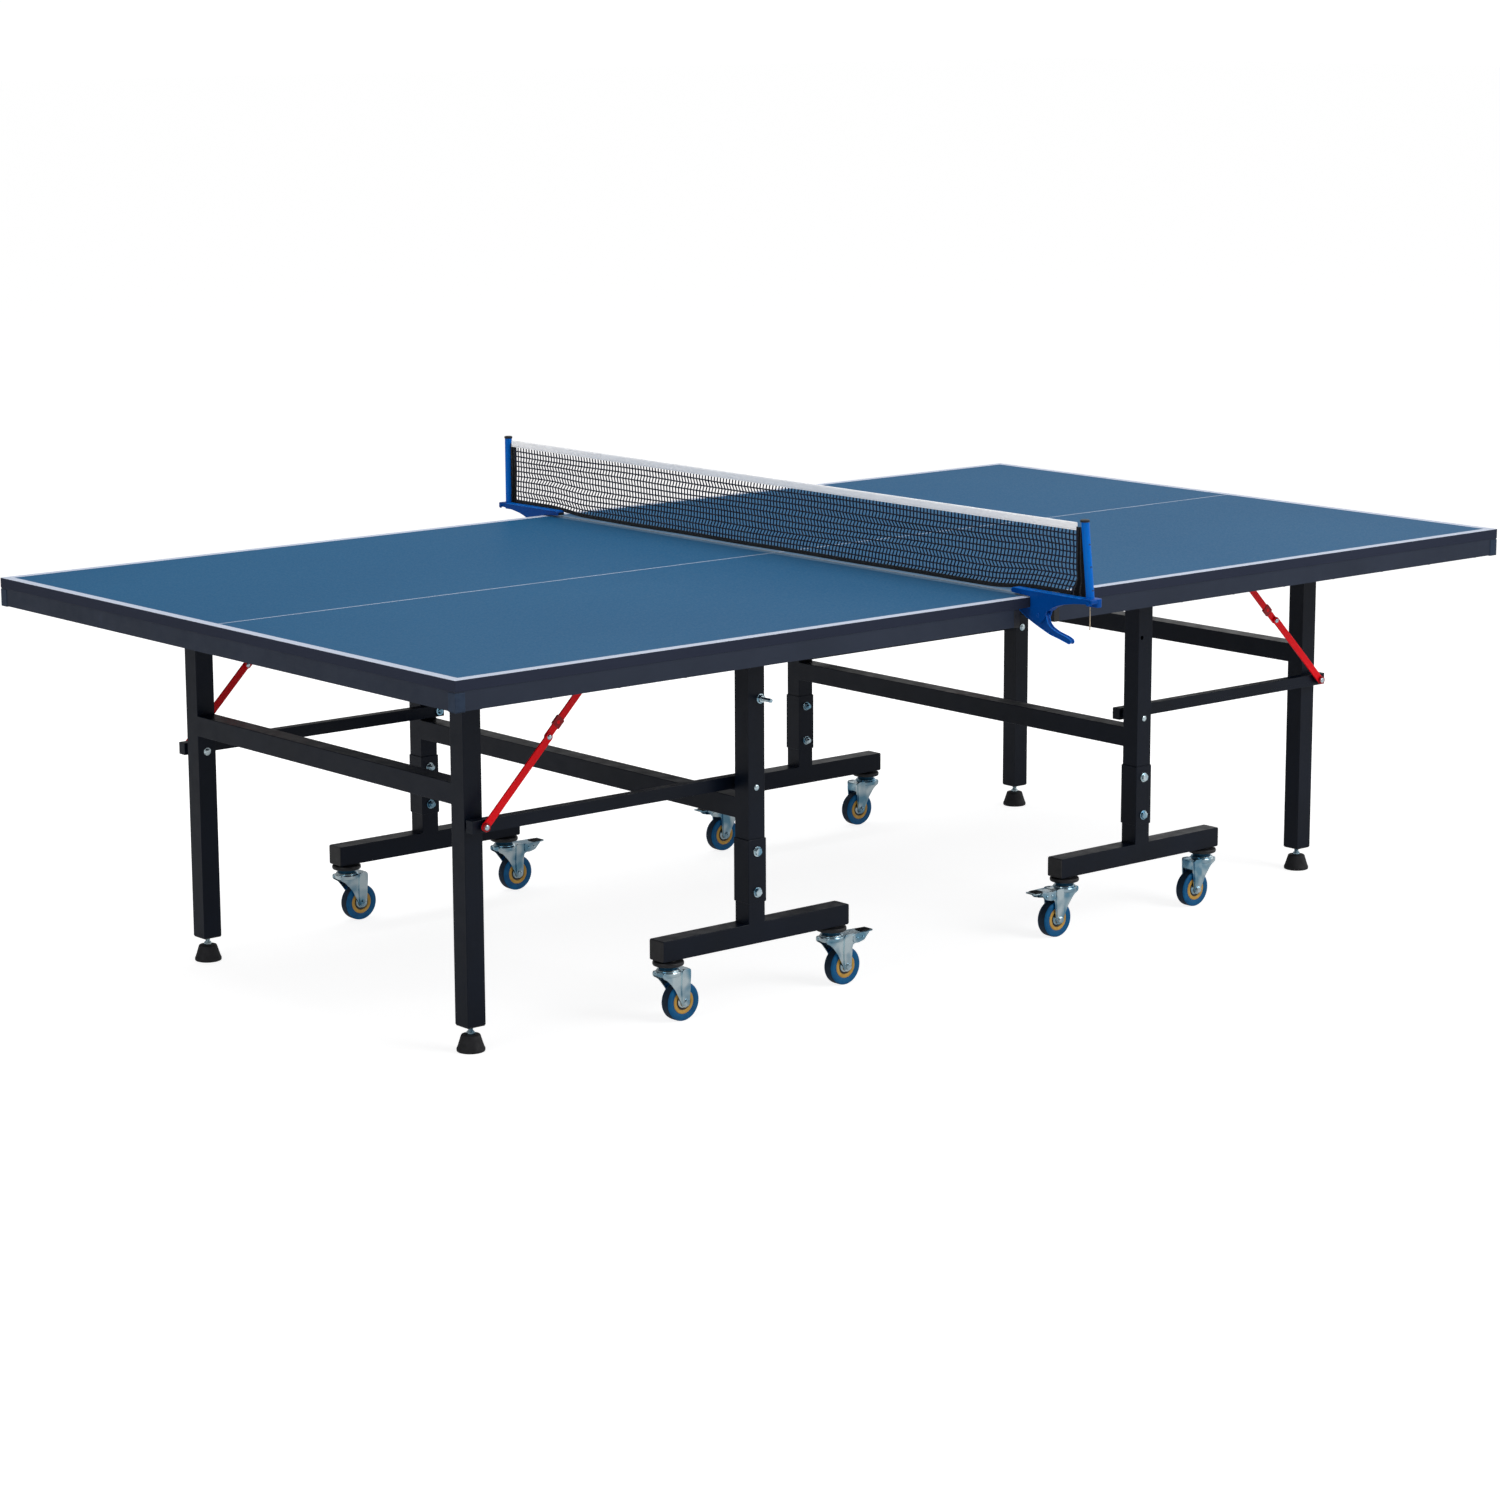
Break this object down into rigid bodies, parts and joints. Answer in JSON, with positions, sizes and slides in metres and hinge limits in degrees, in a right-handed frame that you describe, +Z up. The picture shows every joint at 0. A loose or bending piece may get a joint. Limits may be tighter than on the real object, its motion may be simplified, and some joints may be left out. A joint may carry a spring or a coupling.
{
  "type": "ping pong table",
  "caption": "Folding table tennis table in two halves, with end legs, wheeled T-foot carriages, folding stays and a clip-on net.",
  "frame": {"origin": "on the floor, under the centre of the table", "axes": "+X along the table's length towards the half without the net clamps, +Y across it, +Z up"},
  "size_m": [2.74, 1.854, 0.9209],
  "materials": {
    "playing_surface": "matt roller-coated blue over a dense wood-based board",
    "apron_paint": "satin powder coat, dark navy grey",
    "frame_paint": "satin powder coat, near black",
    "stay_paint": "gloss red powder coat",
    "zinc": "bright zinc plate",
    "tyre_blue": "satin blue rubber",
    "foot_rubber": "matt black rubber",
    "net_blue": "gloss blue paint",
    "net_cord": "knotted dark blue netting",
    "net_tape": "white woven tape",
    "tension_cord": "off-white twisted cord"
  },
  "bodies": {
    "left_carriage": {"left_carriage_frame": "frame_paint", "left_near_t_foot": "frame_paint", "left_far_t_foot": "frame_paint", "left_near_lock_stud": "zinc"},
    "left_top": {"left_playing_board": "playing_surface", "left_apron_frame": "apron_paint", "near_net_post": "net_blue", "far_net_post": "net_blue", "netting": "net_cord", "net_tape": "net_tape", "net_tension_cord": "tension_cord"},
    "left_end_legs": {"left_end_leg_frame": "frame_paint"},
    "left_near_levelling_foot": {"left_near_levelling_foot": "foot_rubber"},
    "left_near_link_bar": {"left_near_link_bar": "frame_paint"},
    "left_near_stay_lower": {"left_near_stay_lower": "stay_paint"},
    "left_near_stay_upper": {"left_near_stay_upper": "stay_paint"},
    "left_near_inner_caster_fork": {"left_near_inner_caster_fork": "zinc"},
    "left_near_inner_caster_wheel": {"left_near_inner_caster_wheel": "tyre_blue"},
    "left_near_outer_caster_fork": {"left_near_outer_caster_fork": "zinc"},
    "left_near_outer_caster_wheel": {"left_near_outer_caster_wheel": "tyre_blue"},
    "left_near_brake_pedal": {"left_near_brake_pedal": "zinc"},
    "left_far_levelling_foot": {"left_far_levelling_foot": "foot_rubber"},
    "left_far_link_bar": {"left_far_link_bar": "frame_paint"},
    "left_far_stay_lower": {"left_far_stay_lower": "stay_paint"},
    "left_far_stay_upper": {"left_far_stay_upper": "stay_paint"},
    "left_far_inner_caster_fork": {"left_far_inner_caster_fork": "zinc"},
    "left_far_inner_caster_wheel": {"left_far_inner_caster_wheel": "tyre_blue"},
    "left_far_outer_caster_fork": {"left_far_outer_caster_fork": "zinc"},
    "left_far_outer_caster_wheel": {"left_far_outer_caster_wheel": "tyre_blue"},
    "left_far_brake_pedal": {"left_far_brake_pedal": "zinc"},
    "right_carriage": {"right_carriage_frame": "frame_paint", "right_near_t_foot": "frame_paint", "right_far_t_foot": "frame_paint"},
    "right_top": {"right_playing_board": "playing_surface", "right_apron_frame": "apron_paint"},
    "right_end_legs": {"right_end_leg_frame": "frame_paint"},
    "right_near_levelling_foot": {"right_near_levelling_foot": "foot_rubber"},
    "right_near_link_bar": {"right_near_link_bar": "frame_paint"},
    "right_near_stay_lower": {"right_near_stay_lower": "stay_paint"},
    "right_near_stay_upper": {"right_near_stay_upper": "stay_paint"},
    "right_near_inner_caster_fork": {"right_near_inner_caster_fork": "zinc"},
    "right_near_inner_caster_wheel": {"right_near_inner_caster_wheel": "tyre_blue"},
    "right_near_outer_caster_fork": {"right_near_outer_caster_fork": "zinc"},
    "right_near_outer_caster_wheel": {"right_near_outer_caster_wheel": "tyre_blue"},
    "right_near_brake_pedal": {"right_near_brake_pedal": "zinc"},
    "right_far_levelling_foot": {"right_far_levelling_foot": "foot_rubber"},
    "right_far_link_bar": {"right_far_link_bar": "frame_paint"},
    "right_far_stay_lower": {"right_far_stay_lower": "stay_paint"},
    "right_far_stay_upper": {"right_far_stay_upper": "stay_paint"},
    "right_far_inner_caster_fork": {"right_far_inner_caster_fork": "zinc"},
    "right_far_inner_caster_wheel": {"right_far_inner_caster_wheel": "tyre_blue"},
    "right_far_outer_caster_fork": {"right_far_outer_caster_fork": "zinc"},
    "right_far_outer_caster_wheel": {"right_far_outer_caster_wheel": "tyre_blue"},
    "right_far_brake_pedal": {"right_far_brake_pedal": "zinc"},
    "near_clamp_lever": {"near_clamp_lever": "net_blue"},
    "far_clamp_lever": {"far_clamp_lever": "net_blue"}
  },
  "joints": [
    {"name": "left_fold", "type": "hinge", "parent": "left_carriage", "child": "left_top", "pos_m": [-0.507, 0, 0.688], "axis": [0, 1, 0], "range_deg": [0, 90]},
    {"name": "left_end_leg_hinge", "type": "hinge", "parent": "left_top", "child": "left_end_legs", "pos_m": [-1.103, 0, 0.688], "axis": [0, 1, 0], "range_deg": [-90, 0]},
    {"name": "left_near_levelling_foot_screw", "type": "slide", "parent": "left_end_legs", "child": "left_near_levelling_foot", "axis": [0, 0, -1], "range_m": [0, 0.012]},
    {"name": "left_near_link_bar_pivot", "type": "hinge", "parent": "left_carriage", "child": "left_near_link_bar", "pos_m": [-0.522, -0.48, 0.427], "axis": [0, 1, 0], "range_deg": [0, 90]},
    {"name": "left_near_stay_lower_pivot", "type": "hinge", "parent": "left_end_legs", "child": "left_near_stay_lower", "pos_m": [-1.118, -0.498, 0.427], "axis": [0, 1, 0], "range_deg": [0, 132]},
    {"name": "left_near_stay_upper_pivot", "type": "hinge", "parent": "left_top", "child": "left_near_stay_upper", "pos_m": [-0.832, -0.493, 0.713], "axis": [0, 1, 0], "range_deg": [-128, 0]},
    {"name": "left_near_inner_caster_swivel", "type": "hinge", "parent": "left_carriage", "child": "left_near_inner_caster_fork", "pos_m": [-0.317, -0.528, 0.1], "axis": [0, 0, 1], "continuous": true},
    {"name": "left_near_inner_wheel_spin", "type": "hinge", "parent": "left_near_inner_caster_fork", "child": "left_near_inner_caster_wheel", "pos_m": [-0.289, -0.528, 0.0375], "axis": [0, 1, 0], "continuous": true},
    {"name": "left_near_outer_caster_swivel", "type": "hinge", "parent": "left_carriage", "child": "left_near_outer_caster_fork", "pos_m": [-0.723, -0.528, 0.1], "axis": [0, 0, 1], "continuous": true},
    {"name": "left_near_outer_wheel_spin", "type": "hinge", "parent": "left_near_outer_caster_fork", "child": "left_near_outer_caster_wheel", "pos_m": [-0.695, -0.528, 0.0375], "axis": [0, 1, 0], "continuous": true},
    {"name": "left_near_brake_pedal_hinge", "type": "hinge", "parent": "left_near_inner_caster_fork", "child": "left_near_brake_pedal", "pos_m": [-0.262, -0.528, 0.089], "axis": [0, 1, 0], "range_deg": [0, 10]},
    {"name": "left_far_levelling_foot_screw", "type": "slide", "parent": "left_end_legs", "child": "left_far_levelling_foot", "axis": [0, 0, -1], "range_m": [0, 0.012]},
    {"name": "left_far_link_bar_pivot", "type": "hinge", "parent": "left_carriage", "child": "left_far_link_bar", "pos_m": [-0.522, 0.48, 0.427], "axis": [0, 1, 0], "range_deg": [0, 90]},
    {"name": "left_far_stay_lower_pivot", "type": "hinge", "parent": "left_end_legs", "child": "left_far_stay_lower", "pos_m": [-1.118, 0.498, 0.427], "axis": [0, 1, 0], "range_deg": [0, 132]},
    {"name": "left_far_stay_upper_pivot", "type": "hinge", "parent": "left_top", "child": "left_far_stay_upper", "pos_m": [-0.832, 0.493, 0.713], "axis": [0, 1, 0], "range_deg": [-128, 0]},
    {"name": "left_far_inner_caster_swivel", "type": "hinge", "parent": "left_carriage", "child": "left_far_inner_caster_fork", "pos_m": [-0.317, 0.528, 0.1], "axis": [0, 0, 1], "continuous": true},
    {"name": "left_far_inner_wheel_spin", "type": "hinge", "parent": "left_far_inner_caster_fork", "child": "left_far_inner_caster_wheel", "pos_m": [-0.289, 0.528, 0.0375], "axis": [0, 1, 0], "continuous": true},
    {"name": "left_far_outer_caster_swivel", "type": "hinge", "parent": "left_carriage", "child": "left_far_outer_caster_fork", "pos_m": [-0.723, 0.528, 0.1], "axis": [0, 0, 1], "continuous": true},
    {"name": "left_far_outer_wheel_spin", "type": "hinge", "parent": "left_far_outer_caster_fork", "child": "left_far_outer_caster_wheel", "pos_m": [-0.695, 0.528, 0.0375], "axis": [0, 1, 0], "continuous": true},
    {"name": "left_far_brake_pedal_hinge", "type": "hinge", "parent": "left_far_inner_caster_fork", "child": "left_far_brake_pedal", "pos_m": [-0.262, 0.528, 0.089], "axis": [0, 1, 0], "range_deg": [0, 10]},
    {"name": "right_fold", "type": "hinge", "parent": "right_carriage", "child": "right_top", "pos_m": [0.507, 0, 0.688], "axis": [0, -1, 0], "range_deg": [0, 90]},
    {"name": "right_end_leg_hinge", "type": "hinge", "parent": "right_top", "child": "right_end_legs", "pos_m": [1.103, 0, 0.688], "axis": [0, -1, 0], "range_deg": [-90, 0]},
    {"name": "right_near_levelling_foot_screw", "type": "slide", "parent": "right_end_legs", "child": "right_near_levelling_foot", "axis": [0, 0, -1], "range_m": [0, 0.012]},
    {"name": "right_near_link_bar_pivot", "type": "hinge", "parent": "right_carriage", "child": "right_near_link_bar", "pos_m": [0.522, -0.48, 0.427], "axis": [0, -1, 0], "range_deg": [0, 90]},
    {"name": "right_near_stay_lower_pivot", "type": "hinge", "parent": "right_end_legs", "child": "right_near_stay_lower", "pos_m": [1.118, -0.498, 0.427], "axis": [0, -1, 0], "range_deg": [0, 132]},
    {"name": "right_near_stay_upper_pivot", "type": "hinge", "parent": "right_top", "child": "right_near_stay_upper", "pos_m": [0.832, -0.493, 0.713], "axis": [0, -1, 0], "range_deg": [-128, 0]},
    {"name": "right_near_inner_caster_swivel", "type": "hinge", "parent": "right_carriage", "child": "right_near_inner_caster_fork", "pos_m": [0.317, -0.528, 0.1], "axis": [0, 0, 1], "continuous": true},
    {"name": "right_near_inner_wheel_spin", "type": "hinge", "parent": "right_near_inner_caster_fork", "child": "right_near_inner_caster_wheel", "pos_m": [0.289, -0.528, 0.0375], "axis": [0, 1, 0], "continuous": true},
    {"name": "right_near_outer_caster_swivel", "type": "hinge", "parent": "right_carriage", "child": "right_near_outer_caster_fork", "pos_m": [0.723, -0.528, 0.1], "axis": [0, 0, 1], "continuous": true},
    {"name": "right_near_outer_wheel_spin", "type": "hinge", "parent": "right_near_outer_caster_fork", "child": "right_near_outer_caster_wheel", "pos_m": [0.695, -0.528, 0.0375], "axis": [0, 1, 0], "continuous": true},
    {"name": "right_near_brake_pedal_hinge", "type": "hinge", "parent": "right_near_inner_caster_fork", "child": "right_near_brake_pedal", "pos_m": [0.262, -0.528, 0.089], "axis": [0, -1, 0], "range_deg": [0, 10]},
    {"name": "right_far_levelling_foot_screw", "type": "slide", "parent": "right_end_legs", "child": "right_far_levelling_foot", "axis": [0, 0, -1], "range_m": [0, 0.012]},
    {"name": "right_far_link_bar_pivot", "type": "hinge", "parent": "right_carriage", "child": "right_far_link_bar", "pos_m": [0.522, 0.48, 0.427], "axis": [0, -1, 0], "range_deg": [0, 90]},
    {"name": "right_far_stay_lower_pivot", "type": "hinge", "parent": "right_end_legs", "child": "right_far_stay_lower", "pos_m": [1.118, 0.498, 0.427], "axis": [0, -1, 0], "range_deg": [0, 132]},
    {"name": "right_far_stay_upper_pivot", "type": "hinge", "parent": "right_top", "child": "right_far_stay_upper", "pos_m": [0.832, 0.493, 0.713], "axis": [0, -1, 0], "range_deg": [-128, 0]},
    {"name": "right_far_inner_caster_swivel", "type": "hinge", "parent": "right_carriage", "child": "right_far_inner_caster_fork", "pos_m": [0.317, 0.528, 0.1], "axis": [0, 0, 1], "continuous": true},
    {"name": "right_far_inner_wheel_spin", "type": "hinge", "parent": "right_far_inner_caster_fork", "child": "right_far_inner_caster_wheel", "pos_m": [0.289, 0.528, 0.0375], "axis": [0, 1, 0], "continuous": true},
    {"name": "right_far_outer_caster_swivel", "type": "hinge", "parent": "right_carriage", "child": "right_far_outer_caster_fork", "pos_m": [0.723, 0.528, 0.1], "axis": [0, 0, 1], "continuous": true},
    {"name": "right_far_outer_wheel_spin", "type": "hinge", "parent": "right_far_outer_caster_fork", "child": "right_far_outer_caster_wheel", "pos_m": [0.695, 0.528, 0.0375], "axis": [0, 1, 0], "continuous": true},
    {"name": "right_far_brake_pedal_hinge", "type": "hinge", "parent": "right_far_inner_caster_fork", "child": "right_far_brake_pedal", "pos_m": [0.262, 0.528, 0.089], "axis": [0, -1, 0], "range_deg": [0, 10]},
    {"name": "near_clamp_lever_hinge", "type": "hinge", "parent": "left_top", "child": "near_clamp_lever", "pos_m": [-0.0115, -0.785, 0.728], "axis": [-1, 0, 0], "range_deg": [0, 12], "stiffness_Nm_per_rad": 2, "springref_deg": -17.19},
    {"name": "far_clamp_lever_hinge", "type": "hinge", "parent": "left_top", "child": "far_clamp_lever", "pos_m": [-0.0115, 0.785, 0.728], "axis": [1, 0, 0], "range_deg": [0, 12], "stiffness_Nm_per_rad": 2, "springref_deg": -17.19},
    {"name": "halves_roll_apart", "type": "slide", "parent": "left_carriage", "child": "right_carriage", "axis": [1, 0, 0], "range_m": [0, 0.6]}
  ],
  "couplings": [
    {"joint": "left_end_leg_hinge", "follows": "left_fold", "ratio": -1},
    {"joint": "left_near_link_bar_pivot", "follows": "left_fold", "ratio": 1},
    {"joint": "left_near_stay_lower_pivot", "follows": "left_fold", "ratio": 1.4603},
    {"joint": "left_near_stay_upper_pivot", "follows": "left_fold", "ratio": -1.4125},
    {"joint": "left_far_link_bar_pivot", "follows": "left_fold", "ratio": 1},
    {"joint": "left_far_stay_lower_pivot", "follows": "left_fold", "ratio": 1.4603},
    {"joint": "left_far_stay_upper_pivot", "follows": "left_fold", "ratio": -1.4125},
    {"joint": "right_end_leg_hinge", "follows": "right_fold", "ratio": -1},
    {"joint": "right_near_link_bar_pivot", "follows": "right_fold", "ratio": 1},
    {"joint": "right_near_stay_lower_pivot", "follows": "right_fold", "ratio": 1.4603},
    {"joint": "right_near_stay_upper_pivot", "follows": "right_fold", "ratio": -1.4125},
    {"joint": "right_far_link_bar_pivot", "follows": "right_fold", "ratio": 1},
    {"joint": "right_far_stay_lower_pivot", "follows": "right_fold", "ratio": 1.4603},
    {"joint": "right_far_stay_upper_pivot", "follows": "right_fold", "ratio": -1.4125},
    {"joint": "halves_roll_apart", "follows": "left_fold", "m_per_rad": 0.38197}
  ]
}
